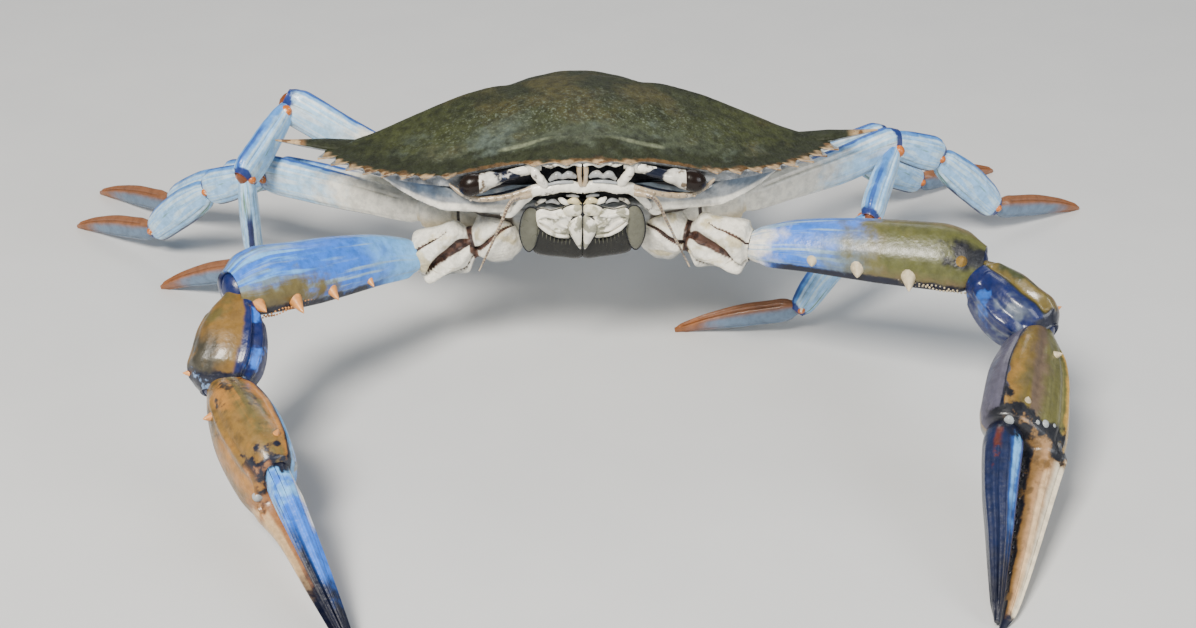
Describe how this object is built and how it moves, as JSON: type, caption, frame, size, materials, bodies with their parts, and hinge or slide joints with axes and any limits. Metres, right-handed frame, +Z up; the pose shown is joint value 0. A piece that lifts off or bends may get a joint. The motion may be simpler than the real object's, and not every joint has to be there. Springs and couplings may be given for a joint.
{
  "type": "blue crab",
  "caption": "Still life-size model of an adult male blue crab standing on its legs, claws set down in front, with swimming paddles behind.",
  "frame": {"origin": "middle of the footprint's bounding box, on the floor the crab stands on", "axes": "+Z up, -Y the way the crab faces, +X to the crab's own left"},
  "size_m": [0.33, 0.2774, 0.0772],
  "materials": {
    "carapace_shell": "finely granular olive-green shell with a soft gloss, beige on the tooth tips",
    "pale_shell": "smooth cream-white shell, bluish grey in the hollows",
    "blue_shell": "glossy bright blue shell that darkens to olive and to blue-black at edges and tips",
    "claw_shell": "glossy olive-ochre shell with dark spots and blue inner sides",
    "leg_shell": "glossy light blue shell, paler towards the body, orange-brown at the joints",
    "feeler": "pale brown translucent feeler",
    "eye": "very glossy dark brown cornea on a pale stalk"
  },
  "bodies": {
    "root": {"carapace": "carapace_shell", "thorax": "pale_shell", "apron": "pale_shell", "eye_left": "eye", "antenna_left": "feeler", "maxilliped_left": "pale_shell", "claw_hip_left": "pale_shell", "claw_merus_left": "blue_shell", "claw_carpus_left": "claw_shell", "claw_propodus_left": "claw_shell", "claw_dactyl_left": "blue_shell", "leg1_hip_left": "pale_shell", "leg1_merus_left": "leg_shell", "leg1_carpus_left": "leg_shell", "leg1_propodus_left": "leg_shell", "leg1_dactyl_left": "leg_shell", "leg2_hip_left": "pale_shell", "leg2_merus_left": "leg_shell", "leg2_carpus_left": "leg_shell", "leg2_propodus_left": "leg_shell", "leg2_dactyl_left": "leg_shell", "leg3_hip_left": "pale_shell", "leg3_merus_left": "leg_shell", "leg3_carpus_left": "leg_shell", "leg3_propodus_left": "leg_shell", "leg3_dactyl_left": "leg_shell", "swimmer_hip_left": "pale_shell", "swimmer_merus_left": "leg_shell", "swimmer_carpus_left": "leg_shell", "swimmer_propodus_left": "leg_shell", "swimmer_paddle_left": "leg_shell", "eye_right": "eye", "antenna_right": "feeler", "maxilliped_right": "pale_shell", "claw_hip_right": "pale_shell", "claw_merus_right": "blue_shell", "claw_carpus_right": "claw_shell", "claw_propodus_right": "claw_shell", "claw_dactyl_right": "blue_shell", "leg1_hip_right": "pale_shell", "leg1_merus_right": "leg_shell", "leg1_carpus_right": "leg_shell", "leg1_propodus_right": "leg_shell", "leg1_dactyl_right": "leg_shell", "leg2_hip_right": "pale_shell", "leg2_merus_right": "leg_shell", "leg2_carpus_right": "leg_shell", "leg2_propodus_right": "leg_shell", "leg2_dactyl_right": "leg_shell", "leg3_hip_right": "pale_shell", "leg3_merus_right": "leg_shell", "leg3_carpus_right": "leg_shell", "leg3_propodus_right": "leg_shell", "leg3_dactyl_right": "leg_shell", "swimmer_hip_right": "pale_shell", "swimmer_merus_right": "leg_shell", "swimmer_carpus_right": "leg_shell", "swimmer_propodus_right": "leg_shell", "swimmer_paddle_right": "leg_shell"}
  },
  "joints": []
}
